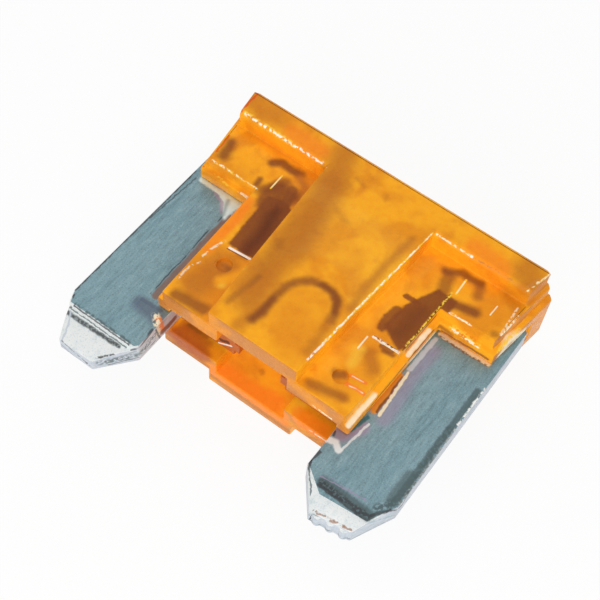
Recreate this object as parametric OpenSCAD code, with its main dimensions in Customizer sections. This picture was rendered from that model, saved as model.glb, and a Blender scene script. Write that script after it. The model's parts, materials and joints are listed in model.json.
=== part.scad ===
// Low-profile mini blade fuse, lying on its back: X runs across the two blades,
// +Y points from the blade tips to the head, +Z is the thickness of the fuse.
// Two pieces: a one-piece moulded housing and a one-piece stamped fuse element.

/* [Housing] */
// Width of the head across its end bands
body_w = 10.9; // [10.6:0.05:11.2]
// Thickness over the bar and the raised panel
body_t = 3.8; // [3.7:0.05:4.1]
// Height of the moulding from the head top to the foot of the tongue
body_h = 6.93; // [6.7:0.01:7.1]
// Height of the head
head_h = 2.72; // [2.62:0.01:2.82]
// Height of the thick bar along the head top
bar_h = 1.03; // [0.8:0.01:1.15]
// Thickness of the flanks beside the raised panel
flank_t = 2.6; // [2.5:0.05:2.8]
// Thickness of the proud band round the middle of the moulding
band_t = 1.7; // [1.5:0.05:1.9]
// How far the band stands out from the flanks
band_out = 0.17; // [0.05:0.01:0.22]
// Amount each end of the head narrows towards its underside
head_taper = 0.32; // [0:0.01:0.4]
// Chamfer at the two top corners of the head
corner_c = 0.13; // [0.05:0.01:0.3]
// Distance the faces of the bar stop short of the end bands
bar_inset = 0.31; // [0.25:0.01:0.45]
// Rounding flat along the edges of the bar
bar_c = 0.12; // [0.05:0.01:0.2]
// How far the tongue laps over the inner edge of each blade below the head
tongue_lap = 0.54; // [0.45:0.01:0.65]
// How far the tongue laps over the inner edge of each blade at its foot
foot_lap = 0.42; // [0.35:0.01:0.6]
// Width of the raised panel at the bar
panel_w = 3.72; // [3.5:0.02:3.9]
// Width of the raised panel at the foot of the tongue
panel_foot_w = 2.94; // [2.7:0.02:3.4]
// Thickness of the walls over the gap and the link chamber
wall = 0.7; // [0.6:0.05:0.75]
// Width of the link chamber
chamber_w = 2.36; // [2.3:0.02:2.44]
// Room that the mouth of the tongue leaves above the foot strips
mouth_room = 0.2; // [0.1:0.02:0.3]
// Length of the sight pocket moulded over each blade root
pocket_l = 2.5; // [2.2:0.05:2.7]
// Width of the sight pocket
pocket_w = 0.9; // [0.7:0.02:1]
// Depth of the sight pocket above the blade face
pocket_d = 0.4; // [0.2:0.02:0.5]
// Diameter of the staking dimples
dimple_d = 0.44; // [0.3:0.02:0.6]
// Depth of the staking dimples
dimple_h = 0.12; // [0.05:0.01:0.2]
// Distance of the staking dimples from the centre line
dimple_x = 2.28; // [2.2:0.01:2.6]
// Height of the left dimple above the foot of the tongue
left_dimple_y = 1.75; // [1.5:0.01:1.9]
// Height of the right dimple above the foot of the tongue
right_dimple_y = 0.92; // [0.7:0.01:1.2]

/* [Fuse element] */
// How far the outer edge of each blade lies inside the end bands of the head
blade_step = 0.05; // [0:0.01:0.15]
// Width of each blade
blade_w = 2.57; // [2.5:0.01:2.62]
// Thickness of the blades
blade_t = 0.8; // [0.7:0.02:0.84]
// Clearance between the element and its seats
seat_gap = 0.02; // [0.01:0.01:0.04]
// Overall length from the head top to the longer tip
fuse_l = 9.3; // [9:0.05:9.6]
// How much shorter the right blade is than the left one
tip_short = 0.12; // [0:0.01:0.3]
// Depth of the blade tops below the head top
root_d = 0.88; // [0.7:0.01:1]
// Outer corner flat at each blade top
root_c = 0.35; // [0.1:0.05:0.6]
// How far each blade root steps in beyond the inner edge of the blade
ear_w = 0.62; // [0.4:0.02:0.7]
// Height of the stepped-in part of the root
ear_h = 1.85; // [1.6:0.05:2]
// Slant of the inner edge of the root above the stepped-in part
ear_slant = 0.1; // [0.02:0.01:0.2]
// Distance from the head top to the lower end of the stepped-in part
ear_low = 4.05; // [3.95:0.01:4.2]
// Width of the foot strips that carry the link
foot_h = 0.4; // [0.3:0.02:0.5]
// Height of the foot strips above the foot of the tongue
foot_y = 0.43; // [0.3:0.01:0.5]
// Distance between the centre lines of the link legs
link_w = 1.76; // [1.5:0.02:1.8]
// Width of the link strip
link_strip = 0.34; // [0.2:0.02:0.4]
// Thickness of the link strip
link_t = 0.4; // [0.2:0.02:0.6]
// Height of the arch crown above the foot strips
link_h = 3.03; // [2.6:0.01:3.1]

/* [Blade tips] */
// Length of the outer corner cut of the left blade
left_outer_l = 1.3; // [1:0.05:1.5]
// Width of the outer corner cut of the left blade
left_outer_w = 0.57; // [0.4:0.01:0.7]
// Length of the inner corner cut of the left blade
left_inner_l = 1.03; // [0.8:0.01:1.2]
// Width of the inner corner cut of the left blade
left_inner_w = 0.83; // [0.6:0.01:0.95]
// Length of the coined part of the left tip
left_coin_l = 0.93; // [0.75:0.01:1]
// Depth of the step where the coining of the left tip begins
left_step = 0.13; // [0.05:0.01:0.16]
// Length of the flat land below that step
left_land = 0.3; // [0.15:0.01:0.4]
// Thickness of the left tip at its end
left_end_t = 0.47; // [0.4:0.01:0.55]
// Angle in degrees by which the right blade is bent outwards
right_splay = 0.43; // [0:0.01:0.43]
// Length of the outer corner cut of the right blade
right_outer_l = 1.42; // [1.2:0.02:1.6]
// Width of the outer corner cut of the right blade
right_outer_w = 0.6; // [0.4:0.01:0.7]
// Length of the inner corner cut of the right blade
right_inner_l = 0.96; // [0.8:0.01:1.2]
// Width of the inner corner cut of the right blade
right_inner_w = 0.76; // [0.6:0.01:0.95]
// How much the end of the right tip runs out of square
right_skew = 0.18; // [0:0.01:0.25]
// Angle in degrees by which the coining of the right tip runs out of square
right_turn = 5; // [0:1:8]
// Length of the coined part of the right tip
right_coin_l = 0.54; // [0.4:0.01:0.65]
// Length of the shallow lead before the coining of the right tip
right_lead_l = 0.46; // [0.3:0.01:0.6]
// Depth of the shallow lead
right_lead_d = 0.05; // [0.02:0.01:0.08]
// Thickness of the right tip at its end
right_end_t = 0.58; // [0.5:0.01:0.65]
// Angle in degrees between the inner corner cut and the upper edge of its bevel
right_bevel_turn = 22; // [10:1:30]
// Slope of that bevel in degrees
right_bevel_a = 35; // [20:1:45]
// Diameter of the three shear beads on the end of the right tip
bead_d = 0.26; // [0.16:0.02:0.3]
// How far the beads stand out of the end face
bead_out = 0.06; // [0.02:0.01:0.1]
// Distance from the front edge of the end face down to the beads
bead_low = 0.08; // [0.04:0.01:0.2]
// Spacing of the shear beads
bead_pitch = 0.38; // [0.32:0.01:0.4]

/* [Hidden] */
$fn = 48;
mid_z = body_t / 2;
top_y = fuse_l / 2;
under_y = top_y - head_h;
bar_y = top_y - bar_h;
foot_end_y = top_y - body_h;
tip_y = -fuse_l / 2;
right_tip_y = tip_y + tip_short;
blade_z = mid_z + blade_t / 2;
back_z = mid_z - blade_t / 2;
blade_out = body_w / 2 - blade_step;
blade_in = blade_out - blade_w;
root_y = top_y - root_d;
ear_x = blade_in - ear_w;
ear_y = top_y - ear_low;
blade_mid_x = (blade_in + blade_out) / 2;
// How far the roots and the foot strips run into the blades
bite = 0.15;
foot_low_y = foot_end_y + foot_y;
foot_top_y = foot_low_y + foot_h;
crown_y = foot_low_y + link_h;
arch_r = link_w / 2;
arch_y = crown_y - arch_r - link_strip / 2;
gap_t = flank_t - 2 * wall;
chamber_t = body_t - 2 * wall;
chamber_r = chamber_w / 2;
mouth_y = foot_top_y + mouth_room;
through = 2;
open_y = foot_end_y - through;
over = 0.01;
// Length that puts the seat of the cutting tool well past the part
far = 20;

// T-shaped outline of the moulding, pulled in from the band by the given amount
module outline(inset) {
    head_x = body_w / 2 - inset;
    under_x = head_x - head_taper;
    neck_x = blade_in + tongue_lap - inset;
    foot_x = blade_in + foot_lap - inset;
    polygon([
        [head_x - corner_c, top_y], [head_x, top_y - corner_c],
        [under_x, under_y + inset], [neck_x, under_y + inset], [foot_x, foot_end_y],
        [-foot_x, foot_end_y], [-neck_x, under_y + inset], [-under_x, under_y + inset],
        [-head_x, top_y - corner_c], [-head_x + corner_c, top_y]
    ]);
}

// Flat slab of a plan shape, centred on the middle plane of the fuse
module slab(thickness) {
    translate([0, 0, mid_z - thickness / 2]) linear_extrude(height = thickness) children();
}

// Thick bar along the head top with its long edges broken
module bar() {
    intersection() {
        slab(body_t) outline(bar_inset);
        rotate([90, 0, 90]) translate([0, 0, -body_w / 2]) linear_extrude(height = body_w)
            polygon([
                [bar_y, bar_c], [bar_y + bar_c, 0], [top_y - bar_c, 0], [top_y, bar_c],
                [top_y, body_t - bar_c], [top_y - bar_c, body_t],
                [bar_y + bar_c, body_t], [bar_y, body_t - bar_c]
            ]);
    }
}

// Raised centre panel, narrowing towards the foot of the tongue
module panel() {
    slab(body_t) polygon([
        [panel_w / 2, bar_y + bar_c], [panel_foot_w / 2, foot_end_y],
        [-panel_foot_w / 2, foot_end_y], [-panel_w / 2, bar_y + bar_c]
    ]);
}

// Room for the roots of the blades and the foot strips of the link
module blade_seat() {
    seat_top = root_y + seat_gap;
    seat_in = ear_x - seat_gap;
    for (s = [-1, 1]) slab(blade_t + 2 * seat_gap) polygon([
        [s * (body_w / 2 + through), open_y], [s * (body_w / 2 + through), seat_top],
        [s * seat_in, seat_top], [s * seat_in, open_y]
    ]);
    slab(blade_t + 2 * seat_gap) polygon([
        [-seat_in - over, open_y], [seat_in + over, open_y],
        [seat_in + over, mouth_y], [-seat_in - over, mouth_y]
    ]);
}

// Lead-in gap between the flank walls at the mouth of the tongue
module mouth_gap() {
    mouth_x = blade_in + seat_gap;
    slab(gap_t) polygon([
        [-mouth_x, open_y], [mouth_x, open_y], [mouth_x, mouth_y], [-mouth_x, mouth_y]
    ]);
}

// Chamber for the link, round at its head end
module link_chamber() {
    translate([-chamber_r, open_y, mid_z - chamber_t / 2])
        cube([chamber_w, arch_y - open_y, chamber_t]);
    translate([0, arch_y, mid_z - chamber_t / 2]) cylinder(r = chamber_r, h = chamber_t);
}

// Sight pockets above and below the two blade roots
module sight_pockets() {
    pocket_x = ear_x - seat_gap;
    for (s = [-1, 1]) slab(blade_t + 2 * pocket_d) polygon([
        [s * pocket_x, ear_y - seat_gap], [s * (pocket_x + pocket_w), ear_y - seat_gap],
        [s * (pocket_x + pocket_w), ear_y + pocket_l], [s * pocket_x, ear_y + pocket_l]
    ]);
}

// Shallow round marks left by the staking punch on both flanks
module dimples() {
    for (side = [-1, 1]) for (p = [[-dimple_x, left_dimple_y], [dimple_x, right_dimple_y]])
        translate([p[0], foot_end_y + p[1], mid_z + side * flank_t / 2 - dimple_h])
            cylinder(d = dimple_d, h = 2 * dimple_h);
}

module housing() color([0.96, 0.62, 0.12, 0.8]) difference() {
    union() {
        slab(band_t) outline(0);
        slab(flank_t) outline(band_out);
        bar();
        panel();
    }
    blade_seat();
    mouth_gap();
    link_chamber();
    sight_pockets();
    dimples();
}

// Plan shape of one blade: side is -1 for the left blade and 1 for the right one
module blade_plan(side, end_y, outer_l, outer_w, inner_l, inner_w, skew) {
    polygon([
        [side * blade_out, root_y - root_c], [side * (blade_out - root_c), root_y],
        [side * blade_in, root_y], [side * blade_in, end_y + inner_l],
        [side * (blade_in + inner_w), end_y], [side * (blade_out - outer_w), end_y + skew],
        [side * blade_out, end_y + outer_l]
    ]);
}

// Stepped-in part of a blade root
module ear(side) {
    slab(blade_t) polygon([
        [side * (blade_in + bite), ear_y], [side * ear_x, ear_y], [side * ear_x, ear_y + ear_h],
        [side * (blade_in - ear_slant), root_y], [side * (blade_in + bite), root_y]
    ]);
}

// Everything in front of a sloped line in the Y-Z plane, as a long cutter across X
module coin_cut(points) {
    rotate([90, 0, 90]) translate([0, 0, -far / 2]) linear_extrude(height = far) polygon(points);
}

// Left blade: stepped coining, a flat land and a slope down to the end
module left_blade() {
    start_y = tip_y + left_coin_l;
    land_z = blade_z - left_step;
    end_z = back_z + left_end_t;
    slope = (land_z - end_z) / (left_coin_l - left_land);
    difference() {
        slab(blade_t) blade_plan(-1, tip_y, left_outer_l, left_outer_w, left_inner_l, left_inner_w, 0);
        coin_cut([
            [start_y, blade_z + through], [start_y, blade_z], [start_y - left_step / 2, land_z],
            [start_y - left_land, land_z], [tip_y - through, end_z - slope * through],
            [tip_y - through, blade_z + through]
        ]);
    }
}

// Turns what follows about a point of the plan
module turned(angle, x, y) {
    translate([x, y, 0]) rotate([0, 0, angle]) translate([-x, -y, 0]) children();
}

// Right blade: shallow lead, slope to a skewed end, a bevelled inner corner and shear beads
module right_blade() {
    lead_y = right_tip_y + right_coin_l;
    lead_z = blade_z - right_lead_d;
    end_z = back_z + right_end_t;
    slope = (lead_z - end_z) / right_coin_l;
    cut_a = atan2(right_inner_l, right_inner_w);
    end_x = (2 * blade_out - blade_w - right_outer_w + right_inner_w) / 2;
    end_slope = right_skew / (blade_w - right_outer_w - right_inner_w);
    bead_y = right_tip_y + right_skew / 2 + bead_d / 2 - bead_out;
    turned(right_splay, blade_out, root_y) {
        difference() {
            slab(blade_t) blade_plan(1, right_tip_y, right_outer_l, right_outer_w,
                right_inner_l, right_inner_w, right_skew);
            turned(right_turn, blade_mid_x, lead_y) coin_cut([
                [lead_y + right_lead_l, blade_z + through], [lead_y + right_lead_l, blade_z],
                [lead_y, lead_z], [right_tip_y - through, end_z - slope * through],
                [right_tip_y - through, blade_z + through]
            ]);
            translate([blade_in, right_tip_y + right_inner_l, blade_z])
                rotate([0, 0, right_bevel_turn - cut_a]) rotate([right_bevel_a, 0, 0])
                    translate([-through / 2, -through, 0]) cube([2 * through, 2 * through, through]);
        }
        for (i = [-1, 0, 1])
            translate([end_x + i * bead_pitch, bead_y + i * bead_pitch * end_slope, back_z])
                cylinder(d = bead_d, h = right_end_t - bead_low);
    }
}

// Arched link between the foot strips
module link() {
    slab(link_t) difference() {
        union() {
            translate([0, arch_y]) circle(r = arch_r + link_strip / 2);
            translate([-arch_r - link_strip / 2, foot_low_y])
                square([link_w + link_strip, arch_y - foot_low_y]);
        }
        translate([0, arch_y]) circle(r = arch_r - link_strip / 2);
        translate([-arch_r + link_strip / 2, foot_low_y - through])
            square([link_w - link_strip, arch_y - foot_low_y + through]);
    }
}

// Foot strips running in from the blades to the link legs
module feet() {
    for (s = [-1, 1]) translate([s > 0 ? arch_r : -blade_in - bite, foot_low_y, back_z])
        cube([blade_in + bite - arch_r, foot_h, blade_t]);
}

module fuse_element() color([0.62, 0.67, 0.7]) {
    left_blade();
    right_blade();
    ear(-1);
    ear(1);
    link();
    feet();
}

housing();
fuse_element();
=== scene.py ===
"""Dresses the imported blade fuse: amber housing, zinc element, white studio and camera."""

import json
import logging
import math
from collections.abc import Iterable
from dataclasses import dataclass, replace
from enum import Enum
from functools import partial

import bpy
from mathutils import Matrix, Vector

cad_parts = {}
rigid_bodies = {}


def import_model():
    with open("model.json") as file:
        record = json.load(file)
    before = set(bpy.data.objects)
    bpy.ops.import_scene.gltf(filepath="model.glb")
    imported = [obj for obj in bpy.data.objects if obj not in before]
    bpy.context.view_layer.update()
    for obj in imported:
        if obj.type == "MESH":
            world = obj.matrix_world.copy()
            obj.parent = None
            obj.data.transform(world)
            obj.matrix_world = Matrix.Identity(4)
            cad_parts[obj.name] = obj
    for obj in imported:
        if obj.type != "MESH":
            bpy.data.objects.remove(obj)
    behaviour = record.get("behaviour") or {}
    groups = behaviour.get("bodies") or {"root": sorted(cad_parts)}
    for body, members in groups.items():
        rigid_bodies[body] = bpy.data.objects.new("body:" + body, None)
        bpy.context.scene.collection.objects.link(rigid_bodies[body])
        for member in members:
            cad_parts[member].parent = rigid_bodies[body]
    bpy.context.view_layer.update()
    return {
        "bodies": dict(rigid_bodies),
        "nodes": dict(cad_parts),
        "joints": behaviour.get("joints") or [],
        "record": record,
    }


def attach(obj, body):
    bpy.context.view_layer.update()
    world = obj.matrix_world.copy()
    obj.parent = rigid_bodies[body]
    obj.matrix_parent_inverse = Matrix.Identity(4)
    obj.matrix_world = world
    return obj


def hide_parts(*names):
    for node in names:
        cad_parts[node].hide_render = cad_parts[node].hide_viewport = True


LOG = logging.getLogger("fuse")
MM = 0.001
# Marks are in millimetres: the fold of back and front, and how far rims wander
MID_Z = 1.9
WANDER = 0.12
# Cleaning the meshes, in metres, and rounding their edges
WELD_GAP = 1e-7
FLAT_ANGLE = math.radians(0.5)
BEVEL_ANGLE = math.radians(28)
BEVEL_STEPS = 2
SMOOTH_ANGLE = math.radians(35)
FLAT_WEIGHT = 100

Socket = bpy.types.NodeSocket
Node = bpy.types.Node
Piece = bpy.types.Object
Rgb = tuple[float, float, float]
Point = tuple[float, float, float]
Pair = tuple[float, float]
Box = tuple[Vector, Vector]


class Body(Enum):
    """The rigid bodies of the frame."""

    ROOT = "root"


class Slot(Enum):
    """The record's material slots."""

    AMBER = "amber_plastic"
    ZINC = "zinc"


def linear(value: int) -> float:
    """Turns one channel of a screen colour into the value that shaders take.

    Args:
        value: The channel from 0 to 255.

    Returns:
        The linear value.
    """
    share = value / 255.0
    return share / 12.92 if share <= 0.04045 else ((share + 0.055) / 1.055) ** 2.4


def srgb(red: int, green: int, blue: int) -> Rgb:
    """A colour as seen on a screen.

    Args:
        red: Red from 0 to 255.
        green: Green from 0 to 255.
        blue: Blue from 0 to 255.

    Returns:
        The linear colour.
    """
    return linear(red), linear(green), linear(blue)


class Canvas:
    """A shader node tree with short calls for the nodes that the finishes share."""

    def __init__(self, tree: bpy.types.NodeTree) -> None:
        """Keeps the tree.

        Args:
            tree: The node tree to draw in.
        """
        self.tree = tree

    def node(self, kind: str, **values: object) -> Node:
        """Adds a node and sets its properties and input sockets.

        Args:
            kind: Blender's name of the node type.
            values: Properties of the node, or values of sockets by name with _ for a space.

        Returns:
            The new node.
        """
        made = self.tree.nodes.new(kind)
        self.fill(made, **values)
        return made

    def fill(self, made: Node, **values: object) -> None:
        """Sets properties and input sockets of a node.

        Args:
            made: The node.
            values: Properties of the node, or values of sockets by name with _ for a space.
        """
        for name, value in values.items():
            if hasattr(made, name):
                setattr(made, name, value)
            else:
                self.feed(made.inputs[name.replace("_", " ")], value)

    def feed(self, socket: Socket, value: object) -> None:
        """Links a socket or sets its value.

        Args:
            socket: The input socket.
            value: Another node's output socket, a number or a tuple.
        """
        if isinstance(value, Socket):
            self.tree.links.new(value, socket)
            return
        if socket.type == "RGBA" and isinstance(value, tuple) and len(value) == 3:
            value = (*value, 1.0)
        socket.default_value = value

    def place(self, scale: Point = (1.0, 1.0, 1.0)) -> Socket:
        """Object coordinates in millimetres, scaled.

        Args:
            scale: How many times each axis is stretched.

        Returns:
            The vector socket.
        """
        where = self.node("ShaderNodeTexCoord")
        mapped = self.node("ShaderNodeMapping", vector_type="POINT", Vector=where.outputs["Object"],
                           Scale=tuple(axis / MM for axis in scale))
        return mapped.outputs["Vector"]

    def noise(self, where: Socket, scale: float, detail: float = 3.0,
              rough: float = 0.5, warp: float = 0.0) -> Socket:
        """A noise value.

        Args:
            where: The coordinates.
            scale: Cells per unit.
            detail: Octaves.
            rough: Share of each finer octave.
            warp: Distortion.

        Returns:
            The value socket.
        """
        made = self.node("ShaderNodeTexNoise", Vector=where, Scale=scale, Detail=detail, Roughness=rough,
                         Distortion=warp)
        return made.outputs["Fac"]

    def math(self, kind: str, first: object, second: object = 0.0,
             third: object = 0.0) -> Socket:
        """A math node.

        Args:
            kind: Blender's name of the operation.
            first: The first value or socket.
            second: The second value or socket.
            third: The third value or socket.

        Returns:
            The value socket.
        """
        made = self.node("ShaderNodeMath", operation=kind)
        for socket, value in zip(made.inputs, (first, second, third)):
            self.feed(socket, value)
        return made.outputs[0]

    def ramp(self, value: Socket, low: float, high: float,
             start: float = 0.0, end: float = 1.0) -> Socket:
        """A smooth step of a value.

        Args:
            value: The value socket.
            low: Where the step starts.
            high: Where the step ends.
            start: Result below low.
            end: Result above high.

        Returns:
            The value socket.
        """
        made = self.node("ShaderNodeMapRange", interpolation_type="SMOOTHSTEP", clamp=False, Value=value,
                         From_Min=low, From_Max=high, To_Min=start, To_Max=end)
        return made.outputs["Result"]

    def mix(self, share: object, under: object, over: object,
            blend: str = "MIX") -> Socket:
        """Mixes two colours.

        Args:
            share: How much of the second colour shows.
            under: The first colour.
            over: The second colour.
            blend: Blender's name of the blend type.

        Returns:
            The colour socket.
        """
        made = self.node("ShaderNodeMix", data_type="RGBA", blend_type=blend)
        self.feed(made.inputs[0], share)
        self.feed(made.inputs[6], under)
        self.feed(made.inputs[7], over)
        return made.outputs[2]

    def vector(self, kind: str, first: object, second: object = (0.0, 0.0, 0.0),
               scale: object = 1.0) -> Socket:
        """A vector math node.

        Args:
            kind: Blender's name of the operation.
            first: The first vector or socket.
            second: The second vector or socket.
            scale: The factor, for SCALE alone.

        Returns:
            The vector socket, or the value socket of a length or dot product.
        """
        made = self.node("ShaderNodeVectorMath", operation=kind)
        self.feed(made.inputs[0], first)
        if kind == "SCALE":
            self.feed(made.inputs["Scale"], scale)
        elif kind != "LENGTH":
            self.feed(made.inputs[1], second)
        return made.outputs["Value" if kind in ("LENGTH", "DOT_PRODUCT") else "Vector"]


def new_material(name: str) -> tuple[bpy.types.Material, Canvas, Node]:
    """A material with an empty Principled shader.

    Args:
        name: The material's name.

    Returns:
        The material, its canvas and its Principled node.
    """
    made = bpy.data.materials.new(name)
    made.use_nodes = True
    shader = next(n for n in made.node_tree.nodes if n.type == "BSDF_PRINCIPLED")
    return made, Canvas(made.node_tree), shader


class Tint(Enum):
    """Colours of the moulding, the marks in it and the metal; many marks are painted highlights and
    painted shade.
    """

    AMBER = srgb(254, 176, 32)
    HONEY = srgb(234, 150, 28)
    CARAMEL = srgb(192, 116, 30)
    ORANGE = srgb(254, 140, 32)
    EMBER = srgb(255, 124, 48)
    # A middle brown, for metal seen through the amber, for painted shade and for small dark spots
    SMUDGE = srgb(150, 86, 30)
    BROWN = srgb(132, 72, 28)
    UMBER = srgb(98, 48, 22)
    # A darkened orange, for painted shade deep in the mouth and for the metal in the housing's shade
    RUST = srgb(184, 94, 36)
    TAN = srgb(206, 136, 62)
    CREAM = srgb(253, 243, 212)
    WHITE = srgb(255, 255, 250)
    SUN = srgb(255, 214, 70)
    RED = srgb(226, 62, 26)
    STEEL = srgb(124, 156, 166)
    PALE = srgb(172, 198, 204)
    SKY = srgb(228, 252, 255)
    SLATE = srgb(84, 102, 104)
    # Near black, mostly for lines of painted shade along edges and beside the housing
    SOOT = srgb(62, 60, 62)
    LILAC = srgb(164, 150, 178)
    FROST = srgb(238, 242, 242)
    ICE = srgb(206, 213, 224)
    TEAL = srgb(58, 118, 128)
    BRONZE = srgb(136, 98, 82)
    DUSK = srgb(92, 102, 120)


class Edge(Enum):
    """How the rim of a mark runs."""

    SOFT = "soft"
    ROUGH = "rough"
    CRISP = "crisp"
    BROKEN = "broken"
    REAL = "real"


@dataclass(frozen=True)
class Mark:
    """A mark along a line of points, as metal, light or shade shows in the moulding."""

    tint: Tint
    half: float
    soft: float
    strength: float
    points: tuple[Point, ...]
    edge: Edge = Edge.SOFT

    def box(self) -> Box:
        """The corners of the box around the line.

        Returns:
            The low and the high corner in millimetres.
        """
        return corners_of(self.points)

    def mask(self, canvas: Canvas, where: Socket) -> Socket:
        """Draws the mark.

        Args:
            canvas: The material's canvas.
            where: The coordinates in millimetres.

        Returns:
            The mask socket.
        """
        gap = None
        for start, end in zip(self.points, self.points[1:]):
            one = canvas.node("ShaderNodeGroup", node_tree=line_group(), Where=where, Start=start, End=end)
            gap = one.outputs["Gap"] if gap is None else canvas.math("MINIMUM", gap, one.outputs["Gap"])
        return canvas.ramp(gap, self.half - self.soft, self.half + self.soft, self.strength, 0.0)


@dataclass(frozen=True)
class Patch:
    """A mark with straight sides, seen from above, between two heights."""

    tint: Tint
    soft: float
    strength: float
    corners: tuple[Pair, ...]
    heights: Pair
    edge: Edge = Edge.SOFT

    def box(self) -> Box:
        """The corners of the box around the patch.

        Returns:
            The low and the high corner in millimetres.
        """
        return corners_of([(*corner, height) for corner in self.corners for height in self.heights])

    def mask(self, canvas: Canvas, where: Socket) -> Socket:
        """Draws the patch.

        Args:
            canvas: The material's canvas.
            where: The coordinates in millimetres.

        Returns:
            The mask socket.
        """
        low, high = self.heights
        sides = [((0.0, 0.0, low), (0.0, 0.0, 1.0)), ((0.0, 0.0, high), (0.0, 0.0, -1.0))]
        for first, second in zip(self.corners, self.corners[1:] + self.corners[:1]):
            along = Vector((second[0] - first[0], second[1] - first[1], 0.0)).normalized()
            sides.append(((*first, 0.0), (-along.y, along.x, 0.0)))
        whole = None
        for through, inward in sides:
            one = canvas.node("ShaderNodeGroup", node_tree=side_group(), Where=where, Through=through,
                              Inward=inward, Softness=self.soft)
            mask = one.outputs["Mask"]
            whole = mask if whole is None else canvas.math("MULTIPLY", whole, mask)
        return canvas.math("MULTIPLY", whole, self.strength)


Paint = Mark | Patch


def corners_of(points: Iterable[Point]) -> Box:
    """The box around points.

    Args:
        points: The points.

    Returns:
        The low and the high corner.
    """
    axes = list(zip(*points))
    return Vector([min(axis) for axis in axes]), Vector([max(axis) for axis in axes])


def near(paints: tuple[Paint, ...], boxes: list[Box]) -> tuple[Paint, ...]:
    """Keeps the marks that reach one of the boxes.

    Args:
        paints: The marks.
        boxes: Low and high corners in millimetres.

    Returns:
        The marks, in their order.
    """
    kept = []
    for paint in paints:
        low, high = paint.box()
        room = (paint.half if isinstance(paint, Mark) else 0.0) + paint.soft + WANDER
        if any(all(low[k] - room <= top[k] and high[k] + room >= base[k] for k in range(3))
               for base, top in boxes):
            kept.append(paint)
    return tuple(kept)


def new_group(name: str, vectors: tuple[str, ...], numbers: tuple[str, ...],
              result: str) -> tuple[Canvas, bpy.types.NodeOutputs, Socket]:
    """Starts a shader group with named sockets.

    Args:
        name: Name of the group.
        vectors: Names of the vector inputs.
        numbers: Names of the value inputs.
        result: Name of the value output.

    Returns:
        The group's canvas, its inputs and the socket that takes the result.
    """
    tree = bpy.data.node_groups.new(name, "ShaderNodeTree")
    for label in vectors:
        tree.interface.new_socket(label, in_out="INPUT", socket_type="NodeSocketVector")
    for label in numbers:
        tree.interface.new_socket(label, in_out="INPUT", socket_type="NodeSocketFloat")
    tree.interface.new_socket(result, in_out="OUTPUT", socket_type="NodeSocketFloat")
    canvas = Canvas(tree)
    given = canvas.node("NodeGroupInput").outputs
    return canvas, given, canvas.node("NodeGroupOutput").inputs[result]


def line_group() -> bpy.types.NodeTree:
    """The shader group that measures the way to a line, built once.

    Returns:
        The group, with Where, Start and End in and Gap out.
    """
    name = "gap_to_line"
    if name in bpy.data.node_groups:
        return bpy.data.node_groups[name]
    canvas, given, result = new_group(name, ("Where", "Start", "End"), (), "Gap")
    from_start = canvas.vector("SUBTRACT", given["Where"], given["Start"])
    along = canvas.vector("SUBTRACT", given["End"], given["Start"])
    share = canvas.math("DIVIDE", canvas.vector("DOT_PRODUCT", from_start, along),
                        canvas.vector("DOT_PRODUCT", along, along))
    share = canvas.math("MINIMUM", canvas.math("MAXIMUM", share, 0.0), 1.0)
    nearest = canvas.vector("SCALE", along, scale=share)
    canvas.feed(result, canvas.vector("LENGTH", canvas.vector("SUBTRACT", from_start, nearest)))
    return canvas.tree


def side_group() -> bpy.types.NodeTree:
    """The shader group that masks one side of a plane, built once.

    Returns:
        The group, with Where, Through, Inward and Softness in and Mask out.
    """
    name = "side_of_plane"
    if name in bpy.data.node_groups:
        return bpy.data.node_groups[name]
    canvas, given, result = new_group(name, ("Where", "Through", "Inward"), ("Softness",), "Mask")
    depth = canvas.vector("DOT_PRODUCT", canvas.vector("SUBTRACT", given["Where"], given["Through"]),
                          given["Inward"])
    outside = canvas.math("MULTIPLY", given["Softness"], -1.0)
    canvas.feed(result, canvas.ramp(depth, outside, given["Softness"]))
    return canvas.tree


@dataclass
class Coordinates:
    """Coordinates in millimetres for the rims that marks can have."""

    canvas: Canvas
    folded: bool

    def __post_init__(self) -> None:
        """Builds the plain and the warped coordinates."""
        canvas = self.canvas
        self.plain = canvas.place()
        self.real = self.warped(scale=5.0, detail=2.0, reach=0.12)
        if self.folded:
            parts = canvas.node("ShaderNodeSeparateXYZ", Vector=self.plain)
            depth = canvas.math("ABSOLUTE", canvas.math("SUBTRACT", parts.outputs["Z"], MID_Z))
            joined = canvas.node("ShaderNodeCombineXYZ", X=parts.outputs["X"], Y=parts.outputs["Y"],
                                 Z=canvas.math("ADD", depth, MID_Z))
            self.plain = joined.outputs[0]
        self.soft = self.warped(scale=1.7, detail=2.0, reach=0.17)
        self.rough = self.warped(scale=7.0, detail=3.0, reach=0.09)
        self.dots = canvas.ramp(canvas.noise(self.plain, scale=11.0, detail=2.0), low=0.4, high=0.52)

    def warped(self, scale: float, detail: float, reach: float) -> Socket:
        """Coordinates that wander.

        Args:
            scale: Waves per millimetre.
            detail: Octaves.
            reach: How far they wander in millimetres.

        Returns:
            The vector socket.
        """
        cloud = self.canvas.node("ShaderNodeTexNoise", Vector=self.plain, Scale=scale, Detail=detail)
        shift = self.canvas.vector("SUBTRACT", cloud.outputs["Color"], (0.5, 0.5, 0.5))
        return self.canvas.vector("ADD", self.plain, self.canvas.vector("SCALE", shift, scale=reach))

    def paint(self, colour: Socket, paints: tuple[Paint, ...]) -> Socket:
        """Lays marks over a colour in order.

        Args:
            colour: The colour below.
            paints: The marks.

        Returns:
            The colour socket.
        """
        ways = {Edge.SOFT: self.soft, Edge.ROUGH: self.rough, Edge.CRISP: self.plain,
                Edge.BROKEN: self.rough, Edge.REAL: self.real}
        for paint in paints:
            mask = paint.mask(self.canvas, ways[paint.edge])
            if paint.edge is Edge.BROKEN:
                mask = self.canvas.math("MULTIPLY", mask, self.dots)
            colour = self.canvas.mix(mask, colour, paint.tint.value)
        return colour


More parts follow.
